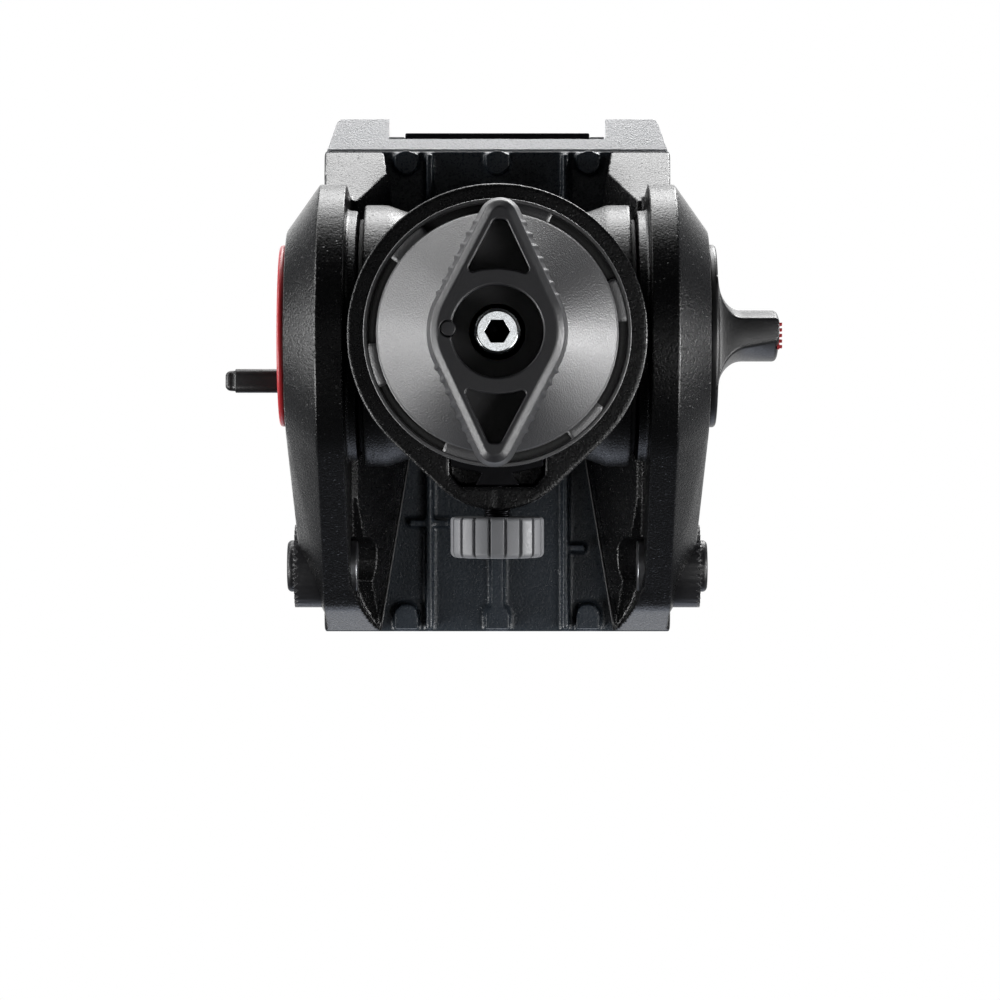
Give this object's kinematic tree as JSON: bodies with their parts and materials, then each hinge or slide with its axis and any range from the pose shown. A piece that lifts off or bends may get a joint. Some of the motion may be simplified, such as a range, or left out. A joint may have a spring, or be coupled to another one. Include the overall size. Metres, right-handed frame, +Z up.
{
  "type": "fluid video head",
  "caption": "Fluid video head on a bowl half ball: domed clamp with wing handle, pan body with side barrel, tilting cradle, sliding camera plate, and lock and balance controls.",
  "frame": {"origin": "centre of the half ball, on the pan axis", "axes": "+Z up along the pan axis, +Y towards the front of the camera plate, +X to the counterbalance dial's side"},
  "size_m": [0.1696, 0.1643, 0.215],
  "materials": {
    "cast_black": "fine textured powder coat",
    "satin_black": "satin",
    "bell_plastic": "fine grained satin",
    "handle_plastic": "moulded matt",
    "bright_zinc": "bright zinc",
    "steel": "turned",
    "machined_alu": "machined",
    "brass": "turned",
    "knob_grey": "moulded satin",
    "control_black": "moulded satin",
    "signal_red": "satin",
    "anodised_black": "black anodised",
    "rubber": "matt",
    "level_fluid": "clear"
  },
  "bodies": {
    "base": {"half_ball": "satin_black", "base_plate": "satin_black", "pan_drum": "machined_alu", "pan_spindle": "steel", "spindle_nut": "steel", "clamp_stud": "bright_zinc", "stop_screw": "bright_zinc", "base_screws": "bright_zinc"},
    "clamp_ring": {"clamp_ring": "bell_plastic"},
    "clamp_knob": {"clamp_bell": "bell_plastic", "clamp_handle": "handle_plastic", "handle_insert": "brass"},
    "pan_drag_ring": {"pan_drag_ring": "bell_plastic"},
    "pan_body": {"pan_body": "cast_black", "pan_bearing": "steel", "left_barrel_cap": "satin_black", "right_barrel_cap": "satin_black", "tilt_bearings": "steel", "friction_seals": "rubber", "tilt_drag_drum": "machined_alu", "counterbalance_spring": "steel", "level_cup": "control_black", "level_vial": "level_fluid"},
    "pan_brake": {"pan_brake_shoe": "anodised_black"},
    "pan_lock": {"pan_lock_screw": "bright_zinc", "pan_lock_knob": "knob_grey"},
    "cradle": {"left_arm": "cast_black", "right_arm": "cast_black", "deck": "cast_black", "plate_holder": "cast_black", "tilt_shaft": "steel", "shaft_screws": "steel", "tilt_drag_rotor": "machined_alu", "spring_sleeve": "machined_alu", "left_rosette": "satin_black", "right_rosette": "satin_black", "rosette_bolts": "steel", "arm_screws": "steel", "holder_screws": "steel", "fixed_guide": "machined_alu"},
    "counterbalance_dial": {"dial_hub": "control_black", "dial_cap": "signal_red", "dial_tab": "control_black"},
    "tilt_lock": {"tilt_lock_lever": "control_black", "lever_inlay": "signal_red"},
    "tilt_brake": {"tilt_brake_pad": "rubber"},
    "plate_gib": {"plate_gib": "machined_alu"},
    "plate_lever": {"plate_lock_lever": "control_black"},
    "release_button": {"release_button": "signal_red"},
    "camera_plate": {"camera_plate": "anodised_black", "plate_pads": "rubber"},
    "front_screw": {"front_camera_screw": "bright_zinc"},
    "rear_screw": {"rear_camera_screw": "bright_zinc"}
  },
  "joints": [
    {"name": "clamp_travel", "type": "slide", "parent": "base", "child": "clamp_ring", "axis": [0, 0, 1], "range_m": [-0.009, 0]},
    {"name": "clamp_turn", "type": "hinge", "parent": "clamp_ring", "child": "clamp_knob", "pos_m": [0, 0, -0.03], "axis": [0, 0, 1], "range_deg": [-2161.5, 0]},
    {"name": "pan", "type": "hinge", "parent": "base", "child": "pan_body", "pos_m": [0, 0, 0.02], "axis": [0, 0, 1], "continuous": true},
    {"name": "pan_drag_adjust", "type": "hinge", "parent": "base", "child": "pan_drag_ring", "pos_m": [0, 0, 0.0055], "axis": [0, 0, 1], "range_deg": [0, 270]},
    {"name": "pan_lock_travel", "type": "slide", "parent": "pan_body", "child": "pan_brake", "axis": [0, 1, 0], "range_m": [0, 0.00052]},
    {"name": "pan_lock_turn", "type": "hinge", "parent": "pan_brake", "child": "pan_lock", "pos_m": [0, -0.06, 0.0125], "axis": [0, 1, 0], "range_deg": [0, 150]},
    {"name": "tilt", "type": "hinge", "parent": "pan_body", "child": "cradle", "pos_m": [0, 0, 0.064], "axis": [1, 0, 0], "range_deg": [-90, 70]},
    {"name": "counterbalance_turn", "type": "hinge", "parent": "cradle", "child": "counterbalance_dial", "pos_m": [0.062, 0, 0.064], "axis": [1, 0, 0], "range_deg": [-90, 0]},
    {"name": "tilt_lock_turn", "type": "hinge", "parent": "cradle", "child": "tilt_lock", "pos_m": [-0.062, 0, 0.064], "axis": [-1, 0, 0], "range_deg": [0, 60]},
    {"name": "tilt_brake_travel", "type": "slide", "parent": "cradle", "child": "tilt_brake", "axis": [1, 0, 0], "range_m": [0, 0.000489]},
    {"name": "plate_lever_turn", "type": "hinge", "parent": "cradle", "child": "plate_lever", "pos_m": [-0.05, 0, 0.133], "axis": [1, 0, 0], "range_deg": [-60, 0]},
    {"name": "plate_gib_travel", "type": "slide", "parent": "cradle", "child": "plate_gib", "axis": [-1, 0, 0], "range_m": [0, 0.000349]},
    {"name": "release_press", "type": "slide", "parent": "cradle", "child": "release_button", "axis": [1, 0, 0], "range_m": [0, 0.002], "stiffness_N_per_m": 600},
    {"name": "plate_slide", "type": "slide", "parent": "cradle", "child": "camera_plate", "axis": [0, 1, 0], "range_m": [-0.03, 0.03]},
    {"name": "front_screw_slide", "type": "slide", "parent": "camera_plate", "child": "front_screw", "axis": [0, 1, 0], "range_m": [-0.013, 0.02]},
    {"name": "rear_screw_slide", "type": "slide", "parent": "camera_plate", "child": "rear_screw", "axis": [0, 1, 0], "range_m": [-0.02, 0.013]}
  ],
  "couplings": [
    {"joint": "clamp_turn", "follows": "clamp_travel", "rad_per_m": 4188.8},
    {"joint": "pan_lock_turn", "follows": "pan_lock_travel", "rad_per_m": 5026.5},
    {"joint": "tilt_lock_turn", "follows": "tilt_brake_travel", "rad_per_m": 2137.1},
    {"joint": "plate_lever_turn", "follows": "plate_gib_travel", "rad_per_m": -2992}
  ]
}
